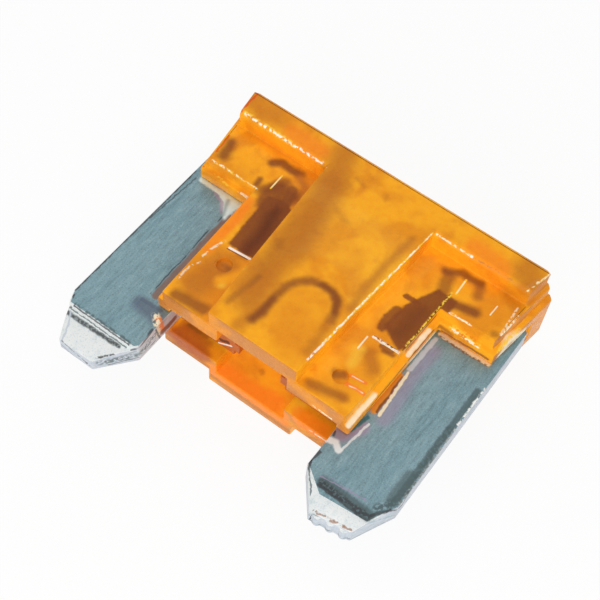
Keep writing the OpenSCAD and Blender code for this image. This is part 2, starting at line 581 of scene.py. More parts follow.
@dataclass(frozen=True)
class AmberPlastic:
    """Hazy translucent amber moulding compound with what shows through it, painted light and shade, and a
    painted glow.
    """

    base: Tint = Tint.AMBER
    cloud: Tint = Tint.HONEY
    deep: Tint = Tint.CARAMEL
    cloud_span: Pair = (0.42, 0.62)
    patch_span: Pair = (0.52, 0.74)
    patchy: float = 0.28
    mottle: Rgb = (0.91, 0.83, 0.7)
    mottle_span: Pair = (0.4, 0.66)
    mottled: float = 0.5
    clear: float = 0.08
    grain_span: Pair = (0.3, 0.7)
    roughness: Pair = (0.22, 0.38)
    gloss: float = 0.12
    # The colour also glows faintly: a painted glow that lifts the faces in shade
    glow: float = 0.2
    ripple: float = 0.02 * MM
    rippled: float = 0.2
    refraction: float = 1.5

    def build(self, name: str, paints: tuple[Paint, ...]) -> bpy.types.Material:
        """Builds the material.

        Args:
            name: Name of the material.
            paints: The marks on it.

        Returns:
            The material.
        """
        made, canvas, shader = new_material(name)
        ways = Coordinates(canvas, folded=True)
        clouds = canvas.noise(ways.plain, scale=0.8, detail=2.0, warp=0.5)
        patches = canvas.noise(ways.soft, scale=2.1, rough=0.6)
        mottles = canvas.noise(ways.plain, scale=4.5, detail=4.0, rough=0.65)
        grain = canvas.noise(ways.plain, scale=6.0)
        clouds = canvas.ramp(clouds, *self.cloud_span)
        patches = canvas.ramp(patches, *self.patch_span, end=self.patchy)
        mottles = canvas.ramp(mottles, *self.mottle_span, end=self.mottled)
        colour = canvas.mix(clouds, self.base.value, self.cloud.value)
        colour = ways.paint(canvas.mix(patches, colour, self.deep.value), paints)
        colour = canvas.mix(mottles, colour, self.mottle, "MULTIPLY")
        bump = canvas.node("ShaderNodeBump", Strength=self.rippled, Distance=self.ripple,
                           Height=canvas.noise(canvas.place(), scale=3.0, detail=2.0))
        canvas.fill(shader, Base_Color=colour, Emission_Color=colour, Emission_Strength=self.glow,
                    Roughness=canvas.ramp(grain, *self.grain_span, *self.roughness),
                    Transmission_Weight=self.clear, Specular_IOR_Level=self.gloss, IOR=self.refraction,
                    Normal=bump.outputs["Normal"])
        return made


@dataclass(frozen=True)
class RolledZinc:
    """Rolled zinc with fine streaks and specks along the blades."""

    light: Tint = Tint.PALE
    base: Tint = Tint.STEEL
    dark: Tint = Tint.SLATE
    metallic: float = 0.55
    streak_span: Pair = (0.3, 0.7)
    roughness: Pair = (0.53, 0.37)
    streaks: Point = (14.0, 2.2, 14.0)
    clouds: Point = (1.6, 0.3, 1.6)
    contrast: float = 0.35
    haze: float = 0.2
    specks: float = 0.5
    groove: float = 0.01 * MM
    grooved: float = 0.25

    def build(self, name: str, paints: tuple[Paint, ...] = ()) -> bpy.types.Material:
        """Builds the material.

        Args:
            name: Name of the material.
            paints: The marks on it.

        Returns:
            The material.
        """
        made, canvas, shader = new_material(name)
        ways = Coordinates(canvas, folded=False)
        streak = canvas.noise(canvas.place(self.streaks), scale=1.0, rough=0.6)
        speck = canvas.noise(ways.plain, scale=26.0, detail=2.0, rough=0.7)
        broad = canvas.noise(canvas.place(self.clouds), scale=1.0, detail=2.0)
        colour = self.base.value
        for value, low, high, peak, tint in (
            (streak, 0.5, 0.28, self.contrast, self.dark),
            (streak, 0.52, 0.74, self.contrast, self.light),
            (broad, 0.35, 0.7, self.haze, self.light),
            (speck, 0.46, 0.3, self.specks, self.dark),
            (speck, 0.56, 0.72, self.specks, self.light),
        ):
            colour = canvas.mix(canvas.ramp(value, low, high, end=peak), colour, tint.value)
        bump = canvas.node("ShaderNodeBump", Strength=self.grooved, Distance=self.groove, Height=streak)
        canvas.fill(shader, Base_Color=ways.paint(colour, paints), Metallic=self.metallic,
                    Roughness=canvas.ramp(streak, *self.streak_span, *self.roughness),
                    Normal=bump.outputs["Normal"])
        return made


def row(tint: Tint, half: float, soft: float, strength: float, *points: tuple[float, ...]) -> Mark:
    """A soft mark.

    Args:
        tint: Its colour.
        half: Half its width in millimetres.
        soft: Softness of its rim.
        strength: How much it covers.
        points: The points along it.

    Returns:
        The mark.
    """
    return Mark(tint, half, soft, strength, points)


def stroke(edge: Edge, share: float, tint: Tint, half: float, strength: float,
           *points: tuple[float, ...]) -> Mark:
    """A mark whose rim is soft over a share of its half width.

    Args:
        edge: How the rim runs.
        share: The share.
        tint: Its colour.
        half: Half its width in millimetres.
        strength: How much it covers.
        points: The points along it.

    Returns:
        The mark.
    """
    return Mark(tint, half, half * share, strength, points, edge)


def raised(height: float, paints: tuple[Paint, ...]) -> tuple[Paint, ...]:
    """Gives a height to the points of marks that have none.

    Args:
        height: The height in millimetres.
        paints: The marks.

    Returns:
        The marks, in their order.
    """
    return tuple(replace(paint, points=tuple((*point, height)[:3] for point in paint.points))
                 if isinstance(paint, Mark) else paint for paint in paints)


# Rough rims, broken lines, marks on one side of the part alone, and crisp lines
rough = partial(stroke, Edge.ROUGH, 0.4)
glint = partial(stroke, Edge.BROKEN, 0.6)
deep = partial(stroke, Edge.REAL, 0.6)
shine = partial(stroke, Edge.CRISP, 0.6)

# Heights of the faces and of flat patches on them
PANEL_Z = 3.8
FLANK_Z = 3.2
BLADE_Z = 2.3
FLANK_SPAN = (3.1, 3.3)
BLADE_SPAN = (2.2, 2.4)

# Painted shade and painted light in the head and the panel, with clouds of darker and lighter tone
SHADES = raised(PANEL_Z, (
    row(Tint.CARAMEL, 0.3, 0.28, 0.45, (-4.95, 4.4), (-4.65, 4.05), (-4.1, 4.2)),
    row(Tint.ORANGE, 0.3, 0.2, 0.75, (-3.3, 4.0, 3.8), (-2.3, 3.95, 3.75)),
    row(Tint.ORANGE, 0.3, 0.2, 0.25, (-3.9, 3.55, 3.4), (-2.2, 3.5, 3.5)),
    row(Tint.CARAMEL, 0.42, 0.35, 0.8, (-1.7, 4.35), (-1.4, 3.3)),
    row(Tint.CARAMEL, 0.5, 0.4, 0.85, (-1.35, 3.1), (-0.9, -1.2)),
    row(Tint.CARAMEL, 0.3, 0.3, 0.6, (-1.1, 2.4), (-0.7, 0.7)),
    row(Tint.CARAMEL, 0.13, 0.13, 0.75, (1.5, 3.05), (1.42, 2.1), (1.4, 1.1), (1.45, 0.2)),
    row(Tint.HONEY, 0.5, 0.4, 0.8, (0.3, -0.9), (0.9, -1.6)),
    row(Tint.SMUDGE, 0.05, 0.08, 0.35, (-0.92, 3.81), (-0.56, 3.72)),
    row(Tint.SMUDGE, 0.08, 0.1, 0.3, (0.1, 3.82), (0.15, 3.75)),
    row(Tint.SMUDGE, 0.09, 0.12, 0.25, (-0.68, 2.55), (-0.24, 2.39)),
    row(Tint.SMUDGE, 0.12, 0.12, 0.3, (-1.32, 0.66), (-1.26, 0.58)),
    row(Tint.ORANGE, 0.28, 0.2, 0.75, (3.0, 3.95), (4.0, 3.85)),
    row(Tint.ORANGE, 0.3, 0.2, 0.25, (2.6, 3.55, 3.4), (4.1, 3.5, 3.4)),
    row(Tint.CARAMEL, 0.42, 0.3, 0.75, (4.6, 4.3), (4.85, 3.9)),
    row(Tint.CARAMEL, 0.2, 0.15, 0.6, (4.4, 3.5, 3.3), (4.95, 3.3, 3.2)),
)) + raised(FLANK_Z, (
    row(Tint.HONEY, 0.35, 0.3, 0.9, (4.5, 2.5), (4.3, 3.0)),
    row(Tint.HONEY, 0.5, 0.3, 0.6, (2.6, -0.8), (2.4, -1.6)),
    row(Tint.CARAMEL, 0.45, 0.35, 0.85, (-2.3, -0.6), (-2.5, -1.5)),
    row(Tint.CARAMEL, 0.22, 0.16, 0.8, (2.51, -0.35), (2.85, -0.65)),
))

# The blades' upper ends behind the flanks
SEEN_METAL = raised(FLANK_Z, (
    row(Tint.BROWN, 0.15, 0.1, 0.9, (-3.38, 3.1), (-3.15, 3.32), (-2.5, 3.28)),
    row(Tint.CARAMEL, 0.13, 0.12, 0.9, (-2.4, 3.2), (-2.05, 2.95), (-2.05, 2.4)),
    row(Tint.BROWN, 0.1, 0.08, 0.85, (-3.3, 2.42), (-3.3, 2.22)),
    row(Tint.BROWN, 0.18, 0.14, 0.85, (-4.78, 2.95), (-4.66, 2.45)),
    row(Tint.BROWN, 0.2, 0.14, 0.75, (-3.05, 2.15), (-2.8, 2.4), (-2.65, 2.75)),
    row(Tint.BROWN, 0.24, 0.18, 0.8, (-2.3, 2.15), (-2.2, 2.5)),
    Patch(Tint.BROWN, 0.05, 0.96, ((-2.64, 0.08), (-1.4, 0.12), (-1.4, 1.8), (-2.2, 2.25),
        (-2.78, 2.1)), FLANK_SPAN, Edge.ROUGH),
    row(Tint.UMBER, 0.2, 0.2, 0.85, (-2.3, 1.9), (-2.1, 1.1), (-2.1, 0.2)),
    rough(Tint.BROWN, 0.3, 0.85, (-2.66, 1.86), (-2.72, 2.22), (-2.67, 2.44)),
    rough(Tint.BROWN, 0.16, 0.8, (-2.19, 2.1), (-2.25, 2.46), (-2.35, 2.7)),
    row(Tint.BROWN, 0.13, 0.1, 0.85, (2.66, 3.17), (3.06, 3.38), (3.65, 3.4)),
    row(Tint.SMUDGE, 0.14, 0.12, 0.7, (3.7, 3.36), (3.82, 3.0)),
    Patch(Tint.BROWN, 0.06, 0.96, ((2.3, 0.62), (3.05, 0.2), (3.5, 0.9), (3.5, 2.5), (2.85, 2.55),
        (2.4, 1.6)), FLANK_SPAN, Edge.ROUGH),
    row(Tint.BROWN, 0.2, 0.12, 0.7, (2.85, 3.05), (2.98, 2.6)),
    row(Tint.UMBER, 0.2, 0.2, 0.4, (2.85, 1.6), (2.75, 0.7)),
    rough(Tint.BROWN, 0.15, 0.9, (2.29, 0.55), (2.26, 0.89), (2.31, 1.25)),
    rough(Tint.BROWN, 0.09, 0.9, (2.25, 1.78), (2.47, 1.79), (2.65, 1.77)),
    rough(Tint.BROWN, 0.1, 0.75, (2.65, 0.08), (2.9, 0.09)),
    row(Tint.BROWN, 0.17, 0.12, 0.9, (3.4, 2.36), (4.02, 2.52)),
    row(Tint.ORANGE, 0.1, 0.08, 0.7, (-2.98, 1.4), (-2.95, 0.2)),
    row(Tint.BROWN, 0.06, 0.06, 0.8, (2.74, -0.04), (3.04, -0.01)),
))

# The link as an arch, and the foot of the tongues
LINK = raised(PANEL_Z, (
    row(Tint.CARAMEL, 0.2, 0.16, 0.7, (-0.58, -2.07), (-0.42, -1.5)),
    row(Tint.SMUDGE, 0.13, 0.11, 0.85, (-0.4, -1.75), (-0.36, -1.41), (-0.35, -0.76), (-0.31, -0.41),
        (-0.2, -0.07), (0.1, 0.21), (0.43, 0.31), (0.78, 0.3), (1.05, 0.15), (1.21, -0.12), (1.26, -0.47)),
    row(Tint.BROWN, 0.09, 0.09, 0.7, (-0.39, -1.67), (-0.36, -0.89)),
    row(Tint.BROWN, 0.09, 0.09, 0.75, (0.39, 0.32), (0.75, 0.28), (1.03, 0.13), (1.18, -0.18)),
    row(Tint.CARAMEL, 0.14, 0.14, 0.7, (1.26, -0.55), (1.36, -1.59)),
    row(Tint.SMUDGE, 0.09, 0.09, 0.5, (-1.08, -0.58), (-1.28, -1.72)),
)) + raised(FLANK_Z, (
    row(Tint.AMBER, 0.18, 0.14, 0.9, (-1.7, -0.45), (-2.0, -1.0)),
    row(Tint.SUN, 0.09, 0.09, 0.6, (-1.58, -0.6, 3.7), (-1.62, -1.0, 3.6), (-1.9, -1.1, 3.2)),
    row(Tint.SMUDGE, 0.19, 0.12, 0.85, (-2.7, -2.1), (-1.85, -2.0)),
    # Painted shade in the left staking dimple
    row(Tint.SMUDGE, 0.08, 0.08, 0.7, (-2.4, -0.48, 3.15), (-2.19, -0.5, 3.08)),
    row(Tint.SMUDGE, 0.15, 0.12, 0.7, (1.75, -2.05), (2.7, -1.85)),
    # Painted shade in the right staking dimple
    row(Tint.SMUDGE, 0.13, 0.1, 0.85, (2.1, -1.36, 3.1), (2.3, -1.2, 3.1)),
    # Painted highlights: two bright orange streaks with pale cores on the right tongue
    row(Tint.EMBER, 0.05, 0.03, 0.75, (2.48, -1.17), (2.93, -1.12)),
    row(Tint.CREAM, 0.016, 0.014, 0.8, (2.54, -1.16), (2.87, -1.13)),
    row(Tint.EMBER, 0.06, 0.035, 0.75, (2.54, -1.42), (3.06, -1.4)),
    row(Tint.CREAM, 0.02, 0.016, 0.8, (2.63, -1.43), (3.0, -1.4)),
    row(Tint.SUN, 0.14, 0.14, 0.55, (2.22, -0.39), (2.3, -0.85)),
    row(Tint.ORANGE, 0.16, 0.1, 0.7, (-3.1, 1.6), (-3.0, -0.4)),
))

# Coloured rims and lines along the edges, with cream painted highlights on the steps of the tongue's side
EDGES = (
    row(Tint.RED, 0.035, 0.03, 0.8, (-5.13, 4.6, 3.75), (-5.03, 3.66, 3.75)),
    rough(Tint.RED, 0.03, 0.7, (-4.98, 3.62, 3.41), (-4.98, 3.09, 3.2), (-4.91, 2.44, 3.2),
        (-5.08, 2.03, 2.75)),
    row(Tint.BROWN, 0.03, 0.03, 0.9, (-4.95, 4.63, 3.74), (4.95, 4.63, 3.74)),
    row(Tint.BROWN, 0.07, 0.05, 0.85, (3.2, 1.9, 2.95), (3.18, 0.5, 2.95)),
    row(Tint.CREAM, 0.07, 0.03, 0.95, (3.26, 1.5, 2.76), (3.25, 0.5, 2.76)),
    row(Tint.BROWN, 0.035, 0.02, 0.95, (3.37, 1.6, 2.72), (3.33, 0.4, 2.7)),
    row(Tint.CREAM, 0.09, 0.04, 0.95, (3.4, 1.65, 2.42), (3.36, 0.6, 2.42)),
    row(Tint.BROWN, 0.05, 0.03, 0.8, (3.34, 0.3, 2.62), (3.28, -1.4, 2.5)),
    row(Tint.CREAM, 0.08, 0.04, 0.9, (3.22, -1.05, 2.78), (3.18, -2.2, 2.78)),
    # Painted shade in the crease where the head's underside meets the right blade
    row(Tint.BROWN, 0.05, 0.03, 0.85, (3.5, 1.93, 2.42), (5.0, 1.93, 2.46)),
    row(Tint.CREAM, 0.05, 0.03, 0.9, (5.26, 3.1, 2.42), (5.17, 2.2, 2.44)),
    row(Tint.TAN, 0.1, 0.08, 0.8, (5.15, 4.5, 3.3), (5.1, 3.7, 3.3)),
    row(Tint.BROWN, 0.1, 0.08, 0.5, (4.8, 2.3, 3.2), (5.0, 2.35, 3.1)),
    # Painted shade in the corner under the head beside the tongue
    row(Tint.SMUDGE, 0.1, 0.08, 0.7, (3.4, 1.93, 2.6), (3.75, 1.93, 2.52)),
)

# Broken highlights along the edges
GLINTS = raised(FLANK_Z, (
    glint(Tint.SUN, 0.07, 0.8, (-4.86, 3.72, 3.77), (-3.0, 3.68, 3.75)),
    glint(Tint.WHITE, 0.034, 1.0, (-4.86, 3.69, 3.77), (-2.05, 3.66, 3.74)),
    glint(Tint.CREAM, 0.03, 0.9, (-2.03, 3.7, 3.78), (-1.84, 3.6, 3.8)),
    glint(Tint.SUN, 0.06, 0.8, (-4.8, 2.1, 3.18), (-4.15, 2.1, 3.18), (-3.2, 2.06, 3.18)),
    glint(Tint.WHITE, 0.032, 0.9, (-4.8, 2.11), (-3.2, 2.08)),
    shine(Tint.SUN, 0.025, 1.0, (-2.88, 2.92), (-2.87, 2.36)),
    shine(Tint.CREAM, 0.014, 1.0, (-2.88, 2.85), (-2.87, 2.42)),
    glint(Tint.SUN, 0.04, 0.6, (-4.63, 2.03, 2.75), (-4.13, 1.94, 2.73)),
    glint(Tint.CREAM, 0.04, 0.8, (-3.7, 1.94, 2.74), (-3.2, 1.94, 2.74)),
    shine(Tint.WHITE, 0.035, 1.0, (-2.52, 0.0), (-1.86, 0.06)),
    shine(Tint.BROWN, 0.015, 1.0, (-2.56, -0.06), (-1.9, 0.0)),
    glint(Tint.CREAM, 0.035, 0.8, (-2.76, 0.1), (-2.88, -0.25), (-2.93, -0.67)),
    glint(Tint.CREAM, 0.03, 0.6, (-2.85, -0.86), (-3.0, -1.16), (-3.01, -1.67)),
    rough(Tint.SUN, 0.032, 0.7, (1.84, 3.6, 3.8), (1.62, 0.8, 3.8), (1.5, -1.2, 3.8)),
    glint(Tint.WHITE, 0.019, 1.0, (1.84, 3.6, 3.8), (1.62, 0.8, 3.8), (1.54, -0.4, 3.8)),
    glint(Tint.WHITE, 0.026, 1.0, (1.55, -0.3, 3.8), (1.5, -1.1, 3.78), (1.46, -1.8, 3.8)),
    shine(Tint.WHITE, 0.026, 1.0, (1.5, -1.2, 3.78), (1.47, -1.5, 3.78)),
    shine(Tint.CREAM, 0.022, 1.0, (2.15, 0.06), (2.15, -0.39)),
    shine(Tint.UMBER, 0.012, 1.0, (2.3, 0.2), (3.1, 0.21)),
    glint(Tint.WHITE, 0.04, 1.0, (2.28, 0.16), (3.11, 0.17)),
    shine(Tint.CREAM, 0.016, 1.0, (2.28, 0.14), (3.11, 0.15)),
    glint(Tint.CREAM, 0.025, 0.9, (1.92, 3.68, 3.74), (3.09, 3.66, 3.74)),
    glint(Tint.TAN, 0.025, 0.8, (3.2, 3.66, 3.74), (4.39, 3.7, 3.76)),
    shine(Tint.WHITE, 0.04, 1.0, (3.08, 3.66, 3.74), (3.1, 3.66, 3.74)),
    glint(Tint.TAN, 0.04, 0.9, (4.86, 3.77, 3.8), (4.97, 4.16, 3.8)),
    shine(Tint.UMBER, 0.02, 1.0, (3.19, 2.6), (3.14, 0.3)),
    glint(Tint.SUN, 0.034, 1.0, (3.2, 2.65), (3.14, 0.46)),
    shine(Tint.SUN, 0.03, 1.0, (3.28, 3.26), (3.3, 2.7)),
    shine(Tint.CREAM, 0.018, 1.0, (3.28, 3.2), (3.3, 2.75)),
    shine(Tint.HONEY, 0.03, 1.0, (4.43, 3.16), (4.41, 2.65)),
    shine(Tint.CREAM, 0.018, 1.0, (4.42, 3.08), (4.41, 2.72)),
    glint(Tint.CREAM, 0.035, 1.0, (3.48, 2.1, 3.16), (4.21, 2.1, 3.2)),
    glint(Tint.CREAM, 0.035, 1.0, (5.04, 3.15, 3.2), (4.99, 2.34, 3.16)),
    glint(Tint.SUN, 0.09, 1.0, (3.73, 1.98, 2.75), (4.59, 1.95, 2.74)),
    glint(Tint.WHITE, 0.04, 0.9, (3.73, 1.96, 2.72), (4.59, 1.94, 2.7)),
    glint(Tint.CREAM, 0.035, 0.9, (2.1, -2.28, 2.64), (2.68, -2.28, 2.62)),
))

# Marks on the ends of the head, with painted highlights along the edges there
ENDS = (
    deep(Tint.CREAM, 0.16, 0.95, (5.18, 2.31, 2.49), (5.21, 2.68, 2.75), (5.29, 3.26, 2.43)),
    deep(Tint.LILAC, 0.05, 0.8, (5.38, 2.36, 2.3), (5.39, 2.77, 2.3), (5.4, 3.27, 2.07)),
    deep(Tint.TEAL, 0.03, 0.8, (5.39, 2.25, 2.3), (5.35, 3.72, 1.46)),
    glint(Tint.SUN, 0.06, 0.9, (5.15, 2.15, 2.75), (5.12, 2.68, 2.75), (5.22, 3.09, 2.75)),
    rough(Tint.SUN, 0.03, 0.7, (4.91, 3.68, 3.74), (5.03, 4.1, 3.8), (5.12, 4.5, 3.8)),
    glint(Tint.CREAM, 0.03, 0.8, (4.91, 3.68, 3.74), (5.03, 4.1, 3.8), (5.12, 4.5, 3.8)),
    rough(Tint.HONEY, 0.12, 0.8, (5.18, 3.73, 2.83), (5.23, 4.17, 2.96), (5.27, 4.45, 3.08)),
    glint(Tint.CREAM, 0.03, 0.7, (4.96, 2.35, 3.2), (4.9, 3.39, 3.2)),
    rough(Tint.RED, 0.03, 0.7, (-5.02, 4.49, 3.8), (-5.0, 4.02, 3.8), (-5.0, 3.69, 3.75)),
)

# Painted light and shade in the open mouth at the foot: orange where light glows through the amber, shaded
# orange deep on the left, darker lines and tan strips
MOUTH = (
    deep(Tint.RUST, 0.3, 0.85, (-2.8, -2.2, 1.7), (-2.5, -2.0, 1.3), (-1.8, -2.1, 1.3)),
    deep(Tint.RUST, 0.25, 0.9, (-2.8, -2.6, 1.6), (-2.5, -2.3, 1.0), (-1.8, -2.3, 1.0)),
    deep(Tint.SMUDGE, 0.08, 0.7, (-2.83, -2.07, 1.87), (-2.53, -1.78, 1.3), (-1.95, -1.78, 1.3)),
    deep(Tint.CARAMEL, 0.2, 0.5, (-1.9, -1.9, 1.3), (-1.5, -2.3, 1.2)),
    deep(Tint.HONEY, 0.25, 0.9, (-1.4, -2.0, 1.3), (-1.1, -1.8, 0.7), (-0.7, -1.8, 0.7)),
    deep(Tint.ORANGE, 0.3, 0.9, (-0.9, -2.1, 0.7), (-0.1, -2.1, 0.7), (0.7, -2.0, 0.7)),
    deep(Tint.ORANGE, 0.2, 0.8, (-1.2, -2.3, 0.9), (0.0, -2.2, 0.7), (1.2, -2.3, 1.0)),
    deep(Tint.CARAMEL, 0.1, 0.6, (-0.18, -1.45, 0.7), (1.33, -2.28, 2.59), (1.86, -2.28, 2.59)),
    deep(Tint.ORANGE, 0.2, 0.7, (1.6, -2.1, 1.3), (2.4, -2.1, 1.3)),
    deep(Tint.TAN, 0.05, 0.9, (-0.13, -2.28, 0.1), (1.26, -2.28, 0.3)),
    deep(Tint.TAN, 0.05, 0.9, (1.4, -2.28, 0.4), (1.97, -2.28, 0.63), (2.46, -2.28, 1.01)),
    deep(Tint.ORANGE, 0.2, 0.85, (-1.3, -2.3, 0.6), (1.2, -2.3, 0.6)),
    deep(Tint.CARAMEL, 0.1, 0.75, (-2.92, -2.28, 0.64), (-1.52, -2.28, 0.73)),
    deep(Tint.CARAMEL, 0.1, 0.75, (-1.33, -2.28, 0.34), (0.05, -2.28, 0.31), (1.37, -2.28, 0.24)),
    deep(Tint.RUST, 0.2, 0.85, (-3.1, -2.3, 1.2), (-1.6, -2.3, 1.2)),
    deep(Tint.ORANGE, 0.2, 0.85, (1.7, -2.3, 1.2), (3.1, -2.3, 1.2)),
)

# Marks on the flat of the blades, many of them painted highlights and painted shade
BLADE_MARKS = raised(BLADE_Z, (
    # Painted shade on the rounded outer edge of the right blade, with a painted highlight along that edge
    rough(Tint.SLATE, 0.1, 0.8, (5.28, 1.0), (5.3, -3.0)),
    rough(Tint.SLATE, 0.16, 0.7, (5.2, -2.2), (5.22, -3.1)),
    glint(Tint.WHITE, 0.04, 1.0, (5.4, 1.2, 2.28), (5.43, -3.0, 2.28)),
    # A dark line along the left blade's outer edge, and a painted shadow along the tongue's side
    rough(Tint.SOOT, 0.04, 0.8, (-5.38, 2.0), (-5.38, -3.3)),
    row(Tint.SOOT, 0.022, 0.015, 0.85, (-3.74, 1.7), (-3.66, -2.1)),
    row(Tint.BRONZE, 0.1, 0.03, 0.8, (-3.58, 1.3), (-3.52, -2.1)),
    Patch(Tint.SKY, 0.05, 1.0, ((-5.12, 1.96), (-5.08, 1.8), (-3.5, 1.7),
        (-3.5, 1.96)), BLADE_SPAN, Edge.ROUGH),
    Patch(Tint.SKY, 0.06, 0.95, ((-4.3, 1.8), (-3.62, 1.12), (-3.55, 1.85)), BLADE_SPAN, Edge.ROUGH),
    rough(Tint.LILAC, 0.05, 0.7, (-4.4, 1.72), (-4.05, 1.6), (-3.85, 1.3)),
    row(Tint.SLATE, 0.06, 0.06, 0.5, (-3.95, 1.75), (-3.76, 1.3)),
    # Painted shade beside the right blade's inner edge, with a painted highlight on that edge
    row(Tint.LILAC, 0.2, 0.16, 0.6, (3.62, 1.3), (3.62, 0.2), (3.75, -1.3)),
    rough(Tint.ICE, 0.07, 0.95, (3.47, 1.65), (3.44, 0.42)),
    row(Tint.HONEY, 0.1, 0.04, 0.95, (3.32, 0.1), (3.38, -1.2)),
    row(Tint.BROWN, 0.035, 0.02, 0.9, (3.42, 0.1), (3.47, -1.2)),
    rough(Tint.CREAM, 0.045, 1.0, (3.46, 0.3), (3.57, -1.25)),
    # A painted highlight where the head meets the right blade, with a broken brown line above it
    rough(Tint.SUN, 0.09, 0.9, (3.52, 1.9), (4.3, 1.9), (5.05, 1.93)),
    rough(Tint.CREAM, 0.07, 1.0, (3.5, 1.86), (5.05, 1.9)),
    glint(Tint.BROWN, 0.03, 0.8, (3.5, 1.8), (4.3, 1.8), (5.05, 1.84)),
    row(Tint.LILAC, 0.26, 0.1, 0.85, (3.1, -2.3), (3.35, -1.85)),
    rough(Tint.TEAL, 0.06, 0.9, (3.22, -2.1), (3.36, -1.5)),
    # Painted highlights on the right blade near the foot of the tongue
    rough(Tint.FROST, 0.1, 0.95, (2.9, -2.68), (3.1, -2.62), (3.3, -2.75)),
    rough(Tint.FROST, 0.035, 0.8, (3.5, -1.65), (3.36, -2.7)),
    row(Tint.SOOT, 0.035, 0.02, 0.8, (2.91, -2.4), (2.93, -2.52)),
    # Painted shade on the land above the right tip, with a thin light line over it
    rough(Tint.SLATE, 0.15, 0.6, (3.5, -3.76, 2.28), (4.29, -3.74, 2.28), (5.0, -3.76, 2.27)),
    rough(Tint.SOOT, 0.05, 0.8, (3.45, -3.86, 2.28), (5.0, -3.9, 2.27)),
    rough(Tint.LILAC, 0.02, 0.6, (3.5, -3.52, 2.28), (4.29, -3.5, 2.28), (4.9, -3.52, 2.27)),
    rough(Tint.SOOT, 0.05, 0.8, (2.87, -3.5), (2.95, -3.1)),
))

